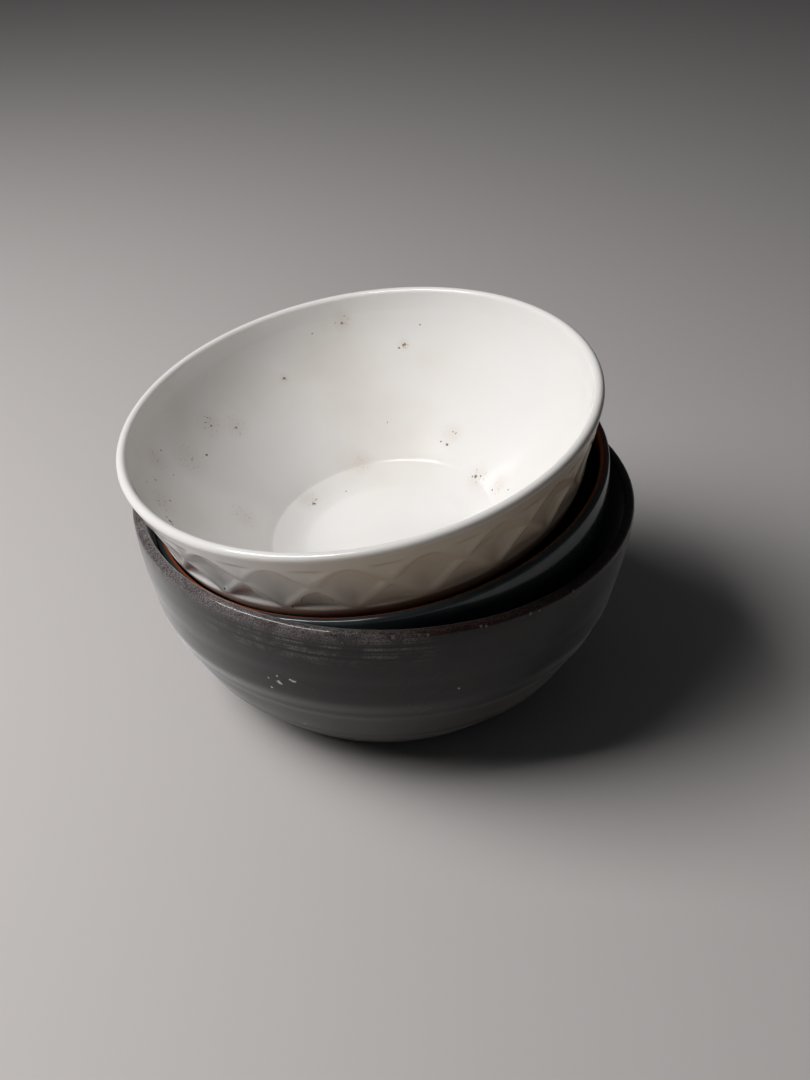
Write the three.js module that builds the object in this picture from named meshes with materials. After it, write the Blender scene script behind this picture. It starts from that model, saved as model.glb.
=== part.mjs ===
// A nest of three one-piece fired bowls. A dark stoneware bowl stands level, a teal bowl leans
// inside it, and a white porcelain bowl with a diamond pattern leans inside the teal one.
// Millimetres, +Z up. The origin is the centre of the dark bowl's flat base.
import * as THREE from "three";

// Every wall is a list of [radius, height] knots in the bowl's own frame, whose origin is the
// centre of its base. Outside walls run from the base up, inside walls from the lip down.

// Outer bowl: a flat turned base, then a wall that steepens at two ridges, 15 and 30 mm up.
const OUTER = {
  rimRadius: 80,
  height: 66.3,
  lipRadius: 1.7,
  outside: [
    [51.6, 0.4], [52.7, 1.4], [61.2, 10.6], [64.7, 15], [68.9, 22],
    [72.8, 30], [75.5, 36], [77.4, 45], [79.4, 57],
  ],
  inside: [
    [75.6, 58], [73.6, 50], [71.4, 41.5], [69, 34],
    [65.6, 26.5], [60.4, 20.3], [52.6, 15.6], [41, 12.3],
  ],
  floor: [[24, 10.1], [0, 9]],
};
const OUTER_BASE = [[0, 0], [50.2, 0]];

// Middle bowl: nearly upright wall that turns in to a tall foot ring.
const MIDDLE = {
  rimRadius: 73,
  height: 56,
  lipRadius: 1.5,
  outside: [
    [33.2, 7.8], [38, 9.4], [46.5, 12.2], [55, 16.5], [61.6, 21.4],
    [66.4, 26.5], [69.6, 32], [71.5, 38.5], [72.6, 46],
  ],
  inside: [[69.5, 48], [68, 40], [65.5, 33.5], [60.6, 27], [53.2, 21.8], [43.6, 18.6]],
  floor: [[33, 17.2], [0, 16.5]],
  rimCentre: [-2.0, -1.9, 71.5],
  lean: 9.85,
  leanTowards: 198,
};
const MIDDLE_FOOT = [[0, 8.5], [26.6, 8.2], [28.2, 0.4], [29, 0], [31, 0], [31.8, 0.6]];

// White bowl: flared wall with the diamond pattern, then a shoulder that turns in to the foot.
const WHITE = {
  rimRadius: 75.3,
  height: 64,
  lipRadius: 1.6,
  outside: [[32.4, 9.5], [37.6, 13.4], [46.6, 20], [55.2, 26.2], [61.6, 30.6], [65.4, 33.7]],
  inside: [[70.9, 57.5], [67.8, 50.5], [63.2, 43.6], [57.6, 37], [51.2, 30.2], [44.6, 23.6], [37.6, 17]],
  floor: [[35.2, 15.4], [30.6, 13.6], [26.4, 12.6], [0, 12.6]],
  rimCentre: [-8.25, -3.45, 96.7],
  lean: 9.56,
  leanTowards: 202.6,
};
const WHITE_FOOT = [[0, 7], [25.6, 6.8], [27, 0.4], [27.8, 0], [29.8, 0], [30.6, 0.6]];
const WHITE_UPPER_WALL = [
  [67.1, 36], [67.8, 37.5], [68.6, 40], [69.7, 45], [71.4, 50], [73.1, 55], [74.4, 59.5],
];

// Diamond pattern pressed into the white bowl's outer wall. Heights are in the bowl's own frame.
const DIAMONDS_ROUND = 21;
const DIAMOND_HALF_HEIGHT = 10;
const RIB_CROSSINGS = 50;
const PATTERN_TOP = 59;
const PATTERN_BOTTOM = 39.5;
const DISH_DEPTH = 1.0;
const PATTERN_TURN = THREE.MathUtils.degToRad(-11.3);

const PLAIN_SEGMENTS = 60;
const PATTERN_SEGMENTS = 4 * DIAMONDS_ROUND;
const LIP_STEPS = 4;
const WALL_STEPS = 8;

function toVectors(knots) {
  return knots.map(([radius, height]) => new THREE.Vector2(radius, height));
}

// Points on a smooth curve through the knots.
function smooth(knots) {
  return new THREE.SplineCurve(toVectors(knots)).getPoints(WALL_STEPS);
}

// A rounded lip: a half circle from the outside of the wall over to the inside.
function lip({ rimRadius, height, lipRadius }) {
  const points = [];
  for (let i = 0; i <= LIP_STEPS; i++) {
    const angle = (Math.PI * i) / LIP_STEPS;
    const radius = rimRadius - lipRadius + lipRadius * Math.cos(angle);
    points.push(new THREE.Vector2(radius, height - lipRadius + lipRadius * Math.sin(angle)));
  }
  return points;
}

// Turns a profile about +Z. It starts on the axis under the bowl and ends on the axis inside it.
function turn(base, bowl, segments, upperWall = []) {
  const profile = [
    ...toVectors(base),
    ...smooth(bowl.outside),
    ...toVectors(upperWall),
    ...lip(bowl),
    ...smooth(bowl.inside),
    ...toVectors(bowl.floor),
  ];
  const geometry = new THREE.LatheGeometry(profile, segments);
  return geometry.rotateX(Math.PI / 2);
}

// How deep the pattern is at a point of the wall: 0 on a rib, 1 in the middle of a diamond.
function dish(angle, height) {
  const across = ((angle + Math.PI / 2) * DIAMONDS_ROUND) / (2 * Math.PI);
  const down = (RIB_CROSSINGS - height) / DIAMOND_HALF_HEIGHT;
  const fromRib = [across + down / 2, across - down / 2].map((s) => Math.abs(2 * (s - Math.floor(s)) - 1));
  return 1 - Math.max(...fromRib) ** 2;
}

// Presses the diamonds into the upper wall, then turns them to where they face.
function pressPattern(geometry) {
  const position = geometry.attributes.position;
  const rows = geometry.parameters.points.length;
  const firstRow = WHITE_FOOT.length + WALL_STEPS + 1;
  const lastRow = firstRow + WHITE_UPPER_WALL.length - 1;
  for (let i = 0; i < position.count; i++) {
    const row = i % rows;
    const point = new THREE.Vector3().fromBufferAttribute(position, i);
    const onPattern = point.z > PATTERN_BOTTOM && point.z < PATTERN_TOP;
    if (row < firstRow || row > lastRow || !onPattern) continue;
    const radius = Math.hypot(point.x, point.y);
    const pressed = (radius - DISH_DEPTH * dish(Math.atan2(point.y, point.x), point.z)) / radius;
    position.setXY(i, point.x * pressed, point.y * pressed);
  }
  return geometry.rotateZ(PATTERN_TURN);
}

// Unit vector along the axis of a bowl that leans by `lean` degrees towards `leanTowards`.
function axisOf({ lean, leanTowards }) {
  const polar = THREE.MathUtils.degToRad(lean);
  const azimuth = THREE.MathUtils.degToRad(leanTowards);
  return new THREE.Vector3(
    Math.sin(polar) * Math.cos(azimuth),
    Math.sin(polar) * Math.sin(azimuth),
    Math.cos(polar),
  );
}

// Tilts a bowl about its rim's centre and puts that centre in place.
function lean(mesh, bowl) {
  const axis = axisOf(bowl);
  mesh.quaternion.setFromUnitVectors(new THREE.Vector3(0, 0, 1), axis);
  mesh.position.set(...bowl.rimCentre).addScaledVector(axis, -bowl.height);
  return mesh;
}

function makeBowl(name, geometry, look) {
  const mesh = new THREE.Mesh(geometry, new THREE.MeshStandardMaterial({ metalness: 0, ...look }));
  mesh.name = name;
  return mesh;
}

const outerBowl = turn(OUTER_BASE, OUTER, PLAIN_SEGMENTS);
const middleBowl = turn(MIDDLE_FOOT, MIDDLE, PLAIN_SEGMENTS);
const whiteBowl = pressPattern(turn(WHITE_FOOT, WHITE, PATTERN_SEGMENTS, WHITE_UPPER_WALL));

const nest = new THREE.Group();
nest.add(makeBowl("outer_bowl", outerBowl, { color: 0x2b2726, roughness: 0.5 }));
nest.add(lean(makeBowl("middle_bowl", middleBowl, { color: 0x1c2a2c, roughness: 0.2 }), MIDDLE));
nest.add(lean(makeBowl("white_bowl", whiteBowl, { color: 0xe6e2dc, roughness: 0.15 }), WHITE));

export default nest;
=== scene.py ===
"""The looks of a nest of three fired bowls: a brown-black stoneware bowl, a black-teal bowl that
leans in it, and a white porcelain bowl with pressed diamonds that leans in the teal one.
Metres, +Z up. Each bowl is modelled in its own frame: the middle of its foot is the origin and its
axis is +Z. Where that frame stands comes from the bowl's CAD solid."""

import math

import bpy
import numpy as np
from mathutils import Matrix, Quaternion, Vector


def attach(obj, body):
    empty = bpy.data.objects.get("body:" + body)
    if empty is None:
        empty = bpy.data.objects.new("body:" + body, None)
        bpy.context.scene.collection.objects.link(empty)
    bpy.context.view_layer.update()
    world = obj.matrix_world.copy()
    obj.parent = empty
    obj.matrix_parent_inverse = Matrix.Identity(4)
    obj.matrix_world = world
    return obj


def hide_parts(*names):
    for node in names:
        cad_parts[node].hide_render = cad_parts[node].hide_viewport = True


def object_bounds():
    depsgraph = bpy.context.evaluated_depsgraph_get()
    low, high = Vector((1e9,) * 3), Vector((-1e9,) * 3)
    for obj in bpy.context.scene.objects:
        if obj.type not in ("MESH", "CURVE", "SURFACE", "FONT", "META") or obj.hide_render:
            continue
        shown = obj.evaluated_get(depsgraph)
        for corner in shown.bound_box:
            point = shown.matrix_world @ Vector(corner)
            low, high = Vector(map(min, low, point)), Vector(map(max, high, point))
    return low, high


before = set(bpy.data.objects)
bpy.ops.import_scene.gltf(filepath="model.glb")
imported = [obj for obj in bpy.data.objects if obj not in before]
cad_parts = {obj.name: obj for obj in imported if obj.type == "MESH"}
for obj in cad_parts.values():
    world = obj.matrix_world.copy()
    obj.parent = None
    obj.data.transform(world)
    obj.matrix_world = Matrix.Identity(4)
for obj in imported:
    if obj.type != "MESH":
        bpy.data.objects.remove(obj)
cad_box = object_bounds()

MM = 0.001

# Walls as [radius, height] in millimetres. Outside walls run up from the base, inside walls down
# from the lip. The patterned part of an outside wall runs on up to the lip.
OUTER = {
    "rim_radius": 80,
    "height": 66.3,
    "lip_radius": 1.7,
    "base": [[0, 0], [50.2, 0]],
    "outside": [
        [50.2, 0], [51.6, 0.4], [52.7, 1.4], [57.2, 6.2], [61.2, 10.6], [64.7, 15],
        [66.9, 18.5], [68.9, 22], [70.9, 26], [72.8, 30], [74.2, 33], [75.5, 36],
        [76.4, 39.6], [77.4, 45], [78.5, 51], [79.4, 57], [79.9, 62],
    ],
    "inside": [
        [75.6, 58], [73.6, 50], [71.4, 41.5], [69, 34], [65.6, 26.5],
        [60.4, 20.3], [52.6, 15.6], [41, 12.3], [24, 10.1], [10, 9.1],
    ],
}
MIDDLE = {
    "rim_radius": 73,
    "height": 56,
    "lip_radius": 1.5,
    "base": [[0, 8.5], [26.6, 8.2], [28.2, 0.4], [29, 0], [31, 0], [31.8, 0.6]],
    "outside": [
        [33.2, 7.8], [38, 9.4], [46.5, 12.2], [55, 16.5], [61.6, 21.4],
        [66.4, 26.5], [69.6, 32], [71.5, 38.5], [72.6, 46],
    ],
    "inside": [
        [69.5, 48], [68, 40], [65.5, 33.5], [60.6, 27], [53.2, 21.8],
        [43.6, 18.6], [33, 17.2], [12, 16.6],
    ],
}
WHITE = {
    "rim_radius": 75.23,
    "height": 63.95,
    "lip_radius": 1.6,
    "base": [[0, 7], [25.6, 6.8], [27, 0.4], [27.8, 0], [29.8, 0], [30.6, 0.6]],
    "outside": [
        [32.4, 9.5], [37.6, 13.4], [46.6, 20], [55.2, 26.2], [61.6, 30.6], [65.4, 33.7],
        [67.1, 36],
    ],
    "patterned": [
        [67.1, 36], [67.8, 37.5], [68.6, 40], [69.7, 45], [71.4, 50], [73.1, 55],
        [74.4, 59.5], [75.15, 61.8],
    ],
    "inside": [
        [70.9, 57.5], [67.8, 50.5], [63.2, 43.6], [57.6, 37], [51.2, 30.2], [44.6, 23.6],
        [39, 18.2], [37.5, 16.7], [36.9, 16.2], [36.2, 15.9], [30.6, 13.7], [27.6, 12.9],
        [25.4, 12.6], [20, 12.6],
    ],
}
WALL_STEP = 1.4     # along a plain wall, in millimetres
PATTERN_STEP = 0.55
BASE_STEP = 4.0
LIP_ROWS = 14
PLAIN_COLUMNS = 360

# Diamonds pressed into the white bowl's wall. Heights are in the bowl's own frame.
DIAMONDS = 21
COLUMNS_PER_DIAMOND = 25
PATTERN_START = math.radians(-101.3)
RIB_CROSSINGS = 50.0
ARCH_TOPS = 58.7
RIB_FEET = 40.0
DISH_DEPTH = 1.4
HALF_DIAMOND = math.pi * 71 / DIAMONDS

# Ridges left by the turning tool on the outer bowl: a height, how far they stand out and how wide.
RIDGES = [[15.0, 0.45, 0.8], [30.0, 0.45, 1.3]]

# Marks on the walls: an angle in degrees, a height and a radius in millimetres.
DYE_FLECKS = [
    [118, 44, 0.55], [142, 38.7, 0.45], [149, 43.3, 0.5], [148, 45.6, 0.35], [159, 39, 0.55],
    [140, 13.9, 0.7], [73, 52, 0.4], [85, 25.7, 0.35], [54, 24.4, 0.4], [55, 21, 0.5],
    [58.5, 21.4, 0.35], [30, 16.8, 0.7], [27, 17.6, 0.4], [32, 16.4, 0.4], [13, 17.6, 0.4],
    [2.5, 21.7, 0.35], [116, 13.2, 0.3], [96, 55, 0.45], [105, 54, 0.3], [171, 50, 0.4],
    [176, 44, 0.35], [-176, 49, 0.4], [-171, 44, 0.45], [-167, 48, 0.35], [-172, 52, 0.3],
]
DYE_HAZES = [
    [78, 46, 3.2], [118, 44, 3], [149, 44, 7], [142, 39, 6], [165, 42, 9], [176, 50, 7],
    [-168, 47, 9], [-150, 40, 10], [96, 56, 5], [54, 24, 6], [28, 17, 7], [12, 20, 6],
    [140, 15, 6], [175, 24, 8], [100, 17, 6],
]
BROWN_FLECKS = [[78, 46, 0.8], [79.6, 45.3, 0.4]]
BLACK_FLECKS = [[-158.6, 46, 0.8], [-157.4, 45.6, 0.45], [-160, 46.6, 0.45]]
RIB_WEAR = [[-127.2, 42, 0.45], [-127.8, 44.4, 0.4], [-126.5, 40.9, 0.35], [-108.4, 40.6, 0.4]]
CRACKS = [[-101.9, 42.4, 4.5]]
CRACK_WIDTH = 0.18
BLEACH_DROPS = [
    [-116, 42.7, 0.3], [-113.7, 44.5, 0.4], [-113.5, 42.1, 0.75], [-113.2, 41.5, 0.5],
    [-115.7, 38.6, 0.4], [-109.9, 44.1, 0.7], [-110.7, 44.4, 0.35], [-111.7, 18.4, 0.5],
    [-92.4, 15.0, 0.45], [-74.4, 41.8, 0.35],
]
LIP_CHIPS = [
    [-88.6, 65.2, 0.7], [-71, 65.3, 0.6], [-69.8, 64.9, 0.5], [-59.8, 64.4, 0.6], [-57.5, 64.2, 0.4],
    [-129.2, 65, 0.6], [-127.8, 64.4, 0.4], [-81.8, 65.3, 0.4], [-98.6, 62.8, 0.4], [-48, 64.9, 0.5],
]

# The stage. The camera's lens and sensor are in millimetres and its angles in degrees.
FLOOR_HALF = 3.0
SENSOR_WIDTH = 36
LENS = 41.67
CAMERA_PLACE = (0, -0.3446, 0.2757)
LOOKING_DOWN = 34.03
LOOKING_RIGHT = 1.12


def catmull_rom(knots, step):
    """Points about one step apart on a smooth curve through the knots."""
    knots = np.array(knots, float)
    padded = np.vstack([knots[:1], knots, knots[-1:]])
    points = []
    for p0, p1, p2, p3 in zip(padded, padded[1:], padded[2:], padded[3:]):
        count = max(2, round(np.linalg.norm(p2 - p1) / step))
        for t in np.arange(count) / count:
            slope_1 = (p2 - p0) / 2
            slope_2 = (p3 - p1) / 2
            points.append(
                (2 * t**3 - 3 * t**2 + 1) * p1 + (t**3 - 2 * t**2 + t) * slope_1
                + (3 * t**2 - 2 * t**3) * p2 + (t**3 - t**2) * slope_2
            )
    points.append(knots[-1])
    return np.array(points)


def straight(knots, step):
    """Points about one step apart on the straight lines between the knots."""
    points = [knots[0]]
    for a, b in zip(np.array(knots, float), np.array(knots[1:], float)):
        count = max(1, round(np.linalg.norm(b - a) / step))
        points += [a + (b - a) * (i + 1) / count for i in range(count)]
    return np.array(points, float)


def lip(bowl):
    """A half circle over the wall's edge, from outside to inside."""
    angles = np.linspace(0, math.pi, LIP_ROWS)
    radius = bowl["rim_radius"] + bowl["lip_radius"] * (np.cos(angles) - 1)
    height = bowl["height"] + bowl["lip_radius"] * (np.sin(angles) - 1)
    return np.stack([radius, height], axis=1)


def profile(bowl):
    """The bowl's whole section, from the axis under it to the axis inside it, and for each point
    how far it is from the lip's top along the wall: positive outside, negative inside."""
    inside = catmull_rom(bowl["inside"], WALL_STEP)
    patterned = bowl.get("patterned", bowl["outside"][-1:])
    floor = straight([list(inside[-1]), [0, inside[-1][1]]], BASE_STEP)
    parts = [
        straight(bowl["base"], BASE_STEP),
        catmull_rom(bowl["outside"], WALL_STEP),
        catmull_rom(patterned, PATTERN_STEP),
        lip(bowl),
        inside,
        floor,
    ]
    points = np.vstack(parts)
    gaps = np.linalg.norm(np.diff(points, axis=0), axis=1)
    points = points[np.concatenate([[True], gaps > 1e-6])]
    along = np.concatenate([[0], np.cumsum(np.linalg.norm(np.diff(points, axis=0), axis=1))])
    return points, along[np.argmax(points[:, 1])] - along


def lathe(name, bowl, columns, place, shape=None):
    """A closed mesh of the bowl, standing at place. shape(angle, radius, height, from_lip) may move
    points, and works on arrays in millimetres. The mesh keeps two values for its material at each
    point: own_place, in the bowl's own frame, and from_lip."""
    section, from_lip = profile(bowl)
    section, from_lip, poles = section[1:-1], from_lip[1:-1], section[[0, -1]]
    angle = PATTERN_START + np.arange(columns) * 2 * math.pi / columns
    grid_angle, radius = np.meshgrid(angle, section[:, 0])
    height = np.meshgrid(angle, section[:, 1])[1]
    distance = np.meshgrid(angle, from_lip)[1]
    if shape:
        radius, height = shape(grid_angle, radius, height, distance)
    rings = np.stack([radius * np.cos(grid_angle), radius * np.sin(grid_angle), height], axis=2)
    rows = len(section)
    ends = [[0, 0, poles[0][1]], [0, 0, poles[1][1]]]
    vertices = np.vstack([rings.reshape(-1, 3), ends]) * MM
    bottom, top = rows * columns, rows * columns + 1
    faces = []
    for column in range(columns):
        after = (column + 1) % columns
        faces.append((bottom, after, column))
        for row in range(rows - 1):
            low, high = row * columns, (row + 1) * columns
            faces.append((low + column, low + after, high + after, high + column))
        last = (rows - 1) * columns
        faces.append((top, last + column, last + after))
    mesh = bpy.data.meshes.new(name)
    mesh.from_pydata(vertices.tolist(), [], faces)
    mesh.polygons.foreach_set("use_smooth", [True] * len(faces))
    own_place = mesh.attributes.new("own_place", "FLOAT_VECTOR", "POINT")
    own_place.data.foreach_set("vector", vertices.ravel())
    lip_distance = mesh.attributes.new("from_lip", "FLOAT", "POINT")
    ends_distance = [from_lip.max(), from_lip.min()]
    lip_distance.data.foreach_set("value", np.concatenate([distance.ravel(), ends_distance]) * MM)
    mesh.transform(place)
    mesh.update()
    bowl_object = bpy.data.objects.new(name, mesh)
    bpy.context.scene.collection.objects.link(bowl_object)
    return bowl_object


def standing_place(node):
    """The bowl's own frame in the row frame. A bowl is round, so its CAD points spread equally
    about its axis, and the axis is the one direction in which they spread differently."""
    points = np.array([v.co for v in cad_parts[node].data.vertices], float)
    centre = points.mean(axis=0)
    spread, directions = np.linalg.eigh(np.cov((points - centre).T))
    odd = 0 if spread[1] - spread[0] > spread[2] - spread[1] else 2
    axis = directions[:, odd] * math.copysign(1, directions[2, odd])
    foot = centre + axis * ((points - centre) @ axis).min()
    turn = Vector((0, 0, 1)).rotation_difference(Vector(axis))
    return Matrix.Translation(Vector(foot)) @ turn.to_matrix().to_4x4()


def smoothstep(value, low, high):
    t = np.clip((value - low) / (high - low), 0, 1)
    return t * t * (3 - 2 * t)


def press_diamonds(angle, radius, height, from_lip):
    """Dishes between ribs that cross all round. Above the crossings the ribs bend over into arches,
    below them they run down straight to the plain band."""
    across = (angle - PATTERN_START) * DIAMONDS / (2 * math.pi)
    aside = 2 * np.abs(across - np.round(across))
    above = height - RIB_CROSSINGS
    rise, fall = ARCH_TOPS - RIB_CROSSINGS, RIB_CROSSINGS - RIB_FEET
    over_arch = above - rise * np.sin(aside * math.pi / 2)
    arch_slope = rise / HALF_DIAMOND * math.pi / 2 * np.cos(aside * math.pi / 2)
    from_arch = np.abs(over_arch) / np.hypot(1, arch_slope)
    from_straight = np.abs(above + fall * aside) / math.hypot(1, fall / HALF_DIAMOND)
    from_rib = np.minimum(from_arch, from_straight)
    depth = 0.4 * smoothstep(from_rib, 0.5, 2.0) + 0.6 * smoothstep(from_rib, 0.5, 6.5)
    shallow = (over_arch > 0) & (above > 0)
    depth[shallow] *= 0.35 * smoothstep(ARCH_TOPS - height[shallow], 0.2, 1.6)
    depth *= smoothstep(height, RIB_FEET, RIB_FEET + 1.0)
    depth[from_lip < 0] = 0
    return radius - DISH_DEPTH * depth, height


def throw_by_hand(angle, radius, height, from_lip):
    """The slight unevenness of a thrown wall and of its worn lip."""
    near_lip = np.exp(-np.abs(from_lip) / 5)
    dip = 0.10 * np.sin(3 * angle + 0.6) + 0.07 * np.sin(8 * angle) + 0.04 * np.sin(19 * angle + 2)
    wear = 0.03 * np.sin(61 * angle) * np.sin(23 * angle + 1) + 0.03 * np.sin(97 * angle + 2)
    rings = 0.02 * np.sin(from_lip * 1.1) + 0.03 * np.sin(from_lip * 0.43 + 1)
    rings *= smoothstep(from_lip, 3, 10) * smoothstep(height, 30, 36)
    for ridge, out, width in RIDGES:
        rings += out * np.exp(-(((height - ridge) / width) ** 2)) * (from_lip > 0)
    return radius + rings, height + (dip + wear - 0.25) * near_lip


class Tree:
    """Builds one material's nodes with short calls. Values may be numbers or sockets."""

    def __init__(self, name):
        self.material = bpy.data.materials.new(name)
        self.material.use_nodes = True
        self.nodes = self.material.node_tree.nodes
        self.links = self.material.node_tree.links
        self.shader = self.nodes["Principled BSDF"]
        self.place = self.attribute("own_place", "Vector")
        self.from_lip = self.attribute("from_lip", "Fac")

    def attribute(self, name, output):
        node = self.nodes.new("ShaderNodeAttribute")
        node.attribute_name = name
        return node.outputs[output]

    def put(self, socket, value):
        if isinstance(value, bpy.types.NodeSocket):
            self.links.new(value, socket)
        else:
            socket.default_value = value

    def set(self, **values):
        """Shader inputs by name, with _ for a space."""
        for name, value in values.items():
            self.put(self.shader.inputs[name.replace("_", " ")], value)

    def math(self, operation, a, b=0.0, clamp=False):
        node = self.nodes.new("ShaderNodeMath")
        node.operation = operation
        node.use_clamp = clamp
        self.put(node.inputs[0], a)
        self.put(node.inputs[1], b)
        return node.outputs[0]

    def vector(self, operation, a, b):
        node = self.nodes.new("ShaderNodeVectorMath")
        node.operation = operation
        self.put(node.inputs[0], a)
        self.put(node.inputs[1], b)
        return node.outputs["Value" if operation in ("DISTANCE", "DOT_PRODUCT") else "Vector"]

    def mix(self, factor, a, b):
        node = self.nodes.new("ShaderNodeMix")
        node.data_type = "RGBA"
        self.put(node.inputs["Factor"], factor)
        self.put(node.inputs["A"], a)
        self.put(node.inputs["B"], b)
        return node.outputs["Result"]

    def between(self, value, low, high, to_low=0.0, to_high=1.0):
        """Smoothly from to_low at low to to_high at high."""
        node = self.nodes.new("ShaderNodeMapRange")
        node.interpolation_type = "SMOOTHSTEP"
        for socket, v in zip(node.inputs, (value, low, high, to_low, to_high)):
            self.put(socket, v)
        return node.outputs["Result"]

    def both(self, *masks):
        """A mask that is 1 only where all of the masks are."""
        result = masks[0]
        for mask in masks[1:]:
            result = self.math("MULTIPLY", result, mask)
        return result

    def near_lip(self, far, near, middle=0.0):
        """A mask round the lip: 0 when farther than far from middle along the wall, 1 within near."""
        distance = self.math("ABSOLUTE", self.math("ADD", self.from_lip, -middle))
        return self.between(distance, far, near)

    def height(self):
        return self.vector("DOT_PRODUCT", self.place, (0, 0, 1))

    def towards(self, degrees):
        """How far a point is from the bowl's axis in this direction, in metres."""
        angle = math.radians(degrees)
        return self.vector("DOT_PRODUCT", self.place, (math.cos(angle), math.sin(angle), 0))

    def noise(self, scale, detail, stretch=(1, 1, 1)):
        """Noise in the bowl's own frame, with scale in features per metre."""
        node = self.nodes.new("ShaderNodeTexNoise")
        self.put(node.inputs["Vector"], self.vector("MULTIPLY", self.place, stretch))
        self.put(node.inputs["Scale"], scale)
        self.put(node.inputs["Detail"], detail)
        return node.outputs["Fac"]

    def spot(self, centre, radius, ragged=1.2):
        """A mask that is 1 in a ragged spot about a point of the bowl's own frame."""
        rough_edge = self.math("MULTIPLY", self.noise(1500, 4), radius * ragged * 2)
        distance = self.math("ADD", self.vector("DISTANCE", self.place, centre), rough_edge)
        return self.between(distance, radius * (1 + ragged), radius * (0.6 + ragged))

    def arc(self, centre, radius, width):
        """A thin line along the upper half of a ring about a point of the bowl's own frame."""
        from_centre = self.vector("DISTANCE", self.place, centre)
        off_ring = self.math("ABSOLUTE", self.math("ADD", from_centre, -radius))
        upper = self.between(self.height(), centre[2] - radius * 0.1, centre[2] + radius * 0.2)
        return self.both(self.between(off_ring, width, width * 0.4), upper)

    def marked(self, colour, marks, tint, strength=1.0):
        """The colour with a tint laid over it in spots, each a centre and a radius in metres."""
        for centre, radius in marks:
            colour = self.mix(self.both(self.spot(centre, radius), strength), colour, tint)
        return colour

    def bump(self, height, distance, strength=1.0, under=None):
        node = self.nodes.new("ShaderNodeBump")
        self.put(node.inputs["Strength"], strength)
        self.put(node.inputs["Distance"], distance)
        self.put(node.inputs["Height"], height)
        if under:
            self.put(node.inputs["Normal"], under)
        return node.outputs["Normal"]


def srgb(red, green, blue):
    """A linear colour from 0 to 255 values."""
    def linear(v):
        v /= 255
        return v / 12.92 if v < 0.04045 else ((v + 0.055) / 1.055) ** 2.4
    return (linear(red), linear(green), linear(blue), 1.0)


def marks_on(bowl, side, marks):
    """Spots on a bowl's wall, outside for side 1 and inside for side -1. Each mark is an angle in
    degrees, a height and a radius in millimetres."""
    section, from_lip = profile(bowl)
    wall = section[from_lip * side > 0]
    wall = wall[np.argsort(wall[:, 1])]
    spots = []
    for degrees, height, size in marks:
        radius = np.interp(height, wall[:, 1], wall[:, 0])
        angle = math.radians(degrees)
        centre = (radius * math.cos(angle), radius * math.sin(angle), height)
        spots.append((tuple(MM * v for v in centre), MM * size))
    return spots


def porcelain():
    """White glaze with a warm brown shade painted on its outside towards -40 degrees, dried dye
    inside it, and black wear and a fine crack on the ribs."""
    t = Tree("white_porcelain")
    colour = t.mix(t.noise(14, 4), srgb(241, 239, 237), srgb(238, 234, 230))
    # Painted shade: the outside towards -40 degrees is tinted warm brown to stand in for light
    # bounced from the brown glaze below.
    painted_warm_shade = t.both(t.between(t.towards(-40), 0, 0.06), t.between(t.from_lip, 0, 0.004))
    colour = t.mix(painted_warm_shade, colour, srgb(208, 192, 170))
    inside = t.between(t.from_lip, -0.001, -0.004)
    used_side = t.between(t.towards(150), -0.02, 0.05, 0.2, 1.0)
    stained = t.both(t.between(t.noise(26, 6), 0.45, 0.75, 0, 0.45), t.both(inside, used_side))
    colour = t.mix(stained, colour, srgb(218, 210, 194))
    near_dye = 0.0
    for centre, radius in marks_on(WHITE, -1, DYE_HAZES):
        haze = t.between(t.vector("DISTANCE", t.place, centre), radius, 0)
        near_dye = t.math("ADD", near_dye, haze, clamp=True)
    colour = t.mix(t.both(near_dye, 0.16), colour, srgb(190, 164, 132))
    crumbs = t.both(near_dye, t.between(t.noise(1100, 4), 0.62, 0.70))
    colour = t.mix(t.both(crumbs, 0.75), colour, srgb(112, 98, 74))
    colour = t.marked(colour, marks_on(WHITE, -1, DYE_FLECKS), srgb(98, 86, 70), 0.85)
    colour = t.marked(colour, marks_on(WHITE, -1, BROWN_FLECKS), srgb(150, 112, 66), 0.9)
    colour = t.marked(colour, marks_on(WHITE, -1, BLACK_FLECKS), srgb(38, 33, 30))
    colour = t.marked(colour, marks_on(WHITE, 1, RIB_WEAR), srgb(40, 36, 34))
    for centre, radius in marks_on(WHITE, 1, CRACKS):
        crack = t.arc(centre, radius, CRACK_WIDTH * MM)
        colour = t.mix(t.both(crack, 0.75), colour, srgb(74, 68, 62))
    t.set(Base_Color=colour, Roughness=t.between(t.noise(45, 4), 0.4, 0.7, 0.10, 0.20), IOR=1.5)
    t.set(Normal=t.bump(t.noise(60, 2), 0.00010))
    return t.material


def teal_glaze():
    """Black-teal glaze that breaks to grey over the lip, and brown glaze inside, with a much lighter
    brown near the lip that is painted light for the shaded gap under the white bowl."""
    t = Tree("teal_stoneware")
    inside = t.between(t.from_lip, -0.0002, -0.0012)
    over_lip = t.near_lip(0.0046, 0.0012, middle=0.0018)
    broken = t.between(t.noise(120, 4, stretch=(1, 1, 0.4)), 0.3, 0.75, 0.5, 1.0)
    body = t.mix(t.both(over_lip, broken), srgb(42, 47, 49), srgb(62, 70, 73))
    # Painted light: the brown glaze near the lip is made much lighter than deeper in, standing in for
    # light that the shaded gap under the white bowl does not get.
    painted_lit_brown = t.mix(t.noise(90, 4), srgb(206, 106, 48), srgb(172, 84, 38))
    brown = t.mix(t.between(t.from_lip, -0.010, -0.005), srgb(84, 48, 32), painted_lit_brown)
    rust = t.near_lip(0.0016, 0.0006, middle=-0.0004)
    rusty_side = t.between(t.towards(5), 0.060, 0.069)
    body = t.mix(t.both(rust, rusty_side), body, srgb(104, 44, 34))
    t.set(Base_Color=t.mix(inside, body, brown), Roughness=0.13, IOR=1.5)
    t.set(Normal=t.bump(t.noise(60, 2), 0.00012))
    return t.material


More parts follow.
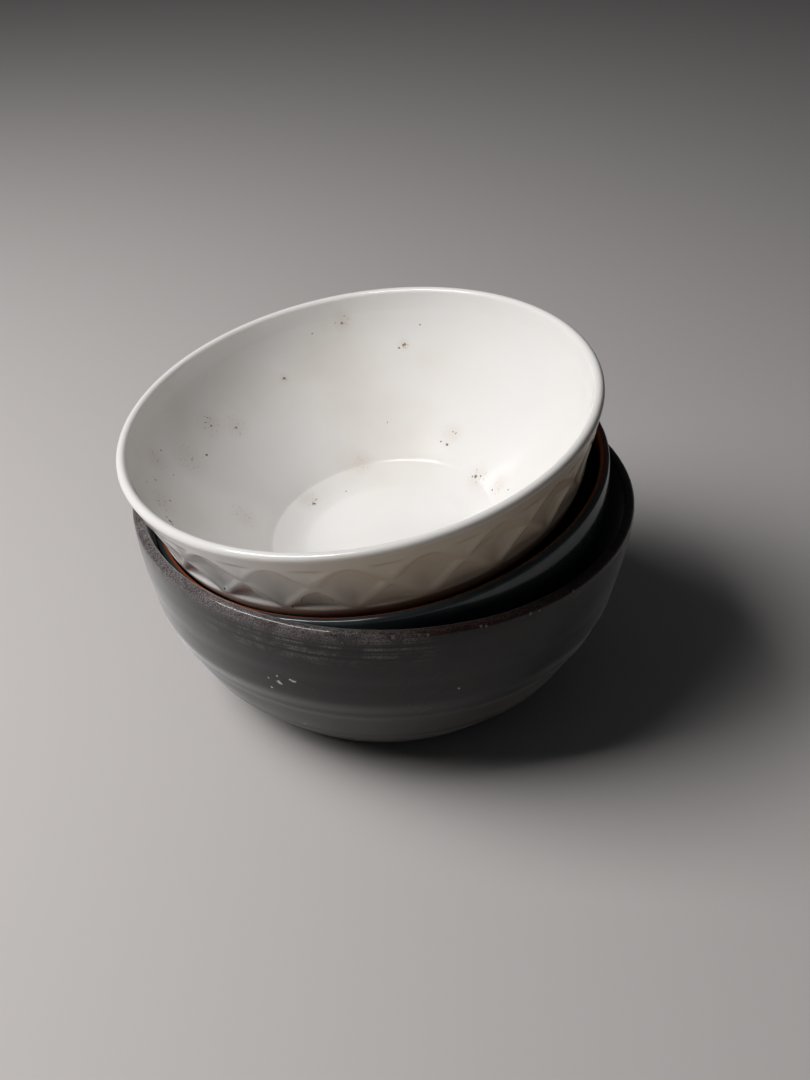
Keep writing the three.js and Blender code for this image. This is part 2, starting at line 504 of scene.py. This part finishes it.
def dark_glaze():
    """Satin brown-black glaze, worn grey and speckled at the lip and redder away from the worn
    side, with grainy scuffs under it, a lighter foot and dried drops of bleach."""
    t = Tree("dark_stoneware")
    speckle = t.noise(2600, 3)
    body = t.mix(t.noise(30, 4), srgb(22, 20, 21), srgb(29, 26, 26))
    foot = t.both(t.between(t.height(), 0.031, 0.028), t.between(t.from_lip, 0, 0.002))
    body = t.mix(foot, body, t.mix(t.noise(50, 4), srgb(52, 49, 45), srgb(62, 58, 54)))
    bare_clay = t.mix(t.between(speckle, 0.35, 0.65), srgb(50, 46, 47), srgb(124, 116, 116))
    red_edge = t.mix(t.between(speckle, 0.40, 0.66), srgb(26, 21, 21), srgb(74, 52, 48))
    worn = t.mix(t.between(t.towards(-160), 0.010, 0.046), red_edge, bare_clay)
    wider_band = t.both(t.between(t.towards(-160), 0.0, 0.05), 0.0034)
    at_lip = t.near_lip(t.math("ADD", wider_band, 0.0038), 0.0008)
    frayed = t.both(at_lip, t.between(t.noise(210, 4), 0.30, 0.58, 0.45, 1.0))
    colour = t.mix(frayed, body, worn)
    streaks = t.noise(60, 5, stretch=(0.15, 0.15, 16))
    scuffed = t.both(
        t.between(t.towards(-107), 0.069, 0.0775),
        t.between(t.from_lip, 0.016, 0.008),
        t.between(streaks, 0.48, 0.60),
        t.between(t.noise(130, 4), 0.42, 0.58, 0.1, 1.0),
        t.between(speckle, 0.42, 0.60, 0.2, 1.0),
    )
    colour = t.mix(t.both(scuffed, 0.8), colour, srgb(132, 124, 122))
    colour = t.marked(colour, marks_on(OUTER, 1, LIP_CHIPS), srgb(128, 110, 106), 0.8)
    colour = t.marked(colour, marks_on(OUTER, 1, BLEACH_DROPS), srgb(214, 210, 208))
    polished_lip = t.near_lip(0.0035, 0.0020)
    satin = t.between(t.noise(40, 3), 0.3, 0.7, 0.23, 0.29)
    satin = t.math("ADD", satin, t.both(polished_lip, -0.12))
    t.set(Base_Color=colour, Roughness=t.math("ADD", satin, t.both(foot, 0.15)), IOR=1.34)
    t.set(Sheen_Weight=t.between(foot, 0, 1, 0.55, 0.3), Sheen_Roughness=0.35)
    grain = t.bump(speckle, 0.000015, t.between(polished_lip, 1.0, 0.0))
    t.set(Normal=t.bump(streaks, 0.000008, under=grain))
    return t.material


def make_bowl(node, bowl, columns, shape, material):
    piece = lathe("glazed_" + node, bowl, columns, standing_place(node), shape)
    piece.data.materials.append(material)
    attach(piece, node)
    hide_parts(node)
    return piece


def make_floor():
    half = FLOOR_HALF
    mesh = bpy.data.meshes.new("floor")
    corners = [(-half, -half, 0), (half, -half, 0), (half, half, 0), (-half, half, 0)]
    mesh.from_pydata(corners, [], [(0, 1, 2, 3)])
    floor = bpy.data.objects.new("floor", mesh)
    bpy.context.scene.collection.objects.link(floor)
    material = bpy.data.materials.new("pale_floor")
    material.use_nodes = True
    shader = material.node_tree.nodes["Principled BSDF"]
    shader.inputs["Base Color"].default_value = srgb(206, 201, 199)
    shader.inputs["Roughness"].default_value = 0.6
    mesh.materials.append(material)
    floor.location.z = cad_box[0].z


def make_camera():
    data = bpy.data.cameras.new("camera")
    data.sensor_width = SENSOR_WIDTH
    data.lens = LENS
    data.clip_start = 0.01
    camera = bpy.data.objects.new("camera", data)
    bpy.context.scene.collection.objects.link(camera)
    camera.location = CAMERA_PLACE
    camera.rotation_euler = (math.radians(90 - LOOKING_DOWN), 0, math.radians(-LOOKING_RIGHT))
    bpy.context.scene.camera = camera


def make_lamp(name, azimuth, elevation, distance, width, depth, power, roll=0):
    """A soft box that faces the bowls, at this azimuth counted from +X towards +Y. Its depth runs
    up, or leans by the roll. All angles are in degrees."""
    data = bpy.data.lights.new(name, "AREA")
    data.shape = "RECTANGLE"
    data.size, data.size_y = width, depth
    data.energy = power
    lamp = bpy.data.objects.new(name, data)
    bpy.context.scene.collection.objects.link(lamp)
    a, e = math.radians(azimuth), math.radians(elevation)
    away = Vector((math.cos(a) * math.cos(e), math.sin(a) * math.cos(e), math.sin(e)))
    lamp.location = away * distance
    leaning = Quaternion((0, 0, 1), math.radians(roll))
    lamp.rotation_euler = (away.to_track_quat("Z", "Y") @ leaning).to_euler()
    return lamp


def make_world():
    world = bpy.data.worlds.new("studio")
    world.use_nodes = True
    background = world.node_tree.nodes["Background"]
    background.inputs["Color"].default_value = (0.9, 0.95, 1.0, 1)
    background.inputs["Strength"].default_value = 0.03
    bpy.context.scene.world = world
    bpy.context.scene.view_settings.view_transform = "Standard"


make_bowl("outer_bowl", OUTER, PLAIN_COLUMNS, throw_by_hand, dark_glaze())
make_bowl("middle_bowl", MIDDLE, PLAIN_COLUMNS, None, teal_glaze())
make_bowl("white_bowl", WHITE, DIAMONDS * COLUMNS_PER_DIAMOND, press_diamonds, porcelain())
make_floor()
make_camera()
# One soft box lights the bowls, and a narrow one only draws the bright lines along lips and edges.
make_lamp("key", 187, 50, 0.87, 0.50, 0.50, 7.2).visible_glossy = False
make_lamp("edge_light", 198, 59, 0.90, 0.17, 0.48, 5.2, roll=-36).visible_diffuse = False
make_world()
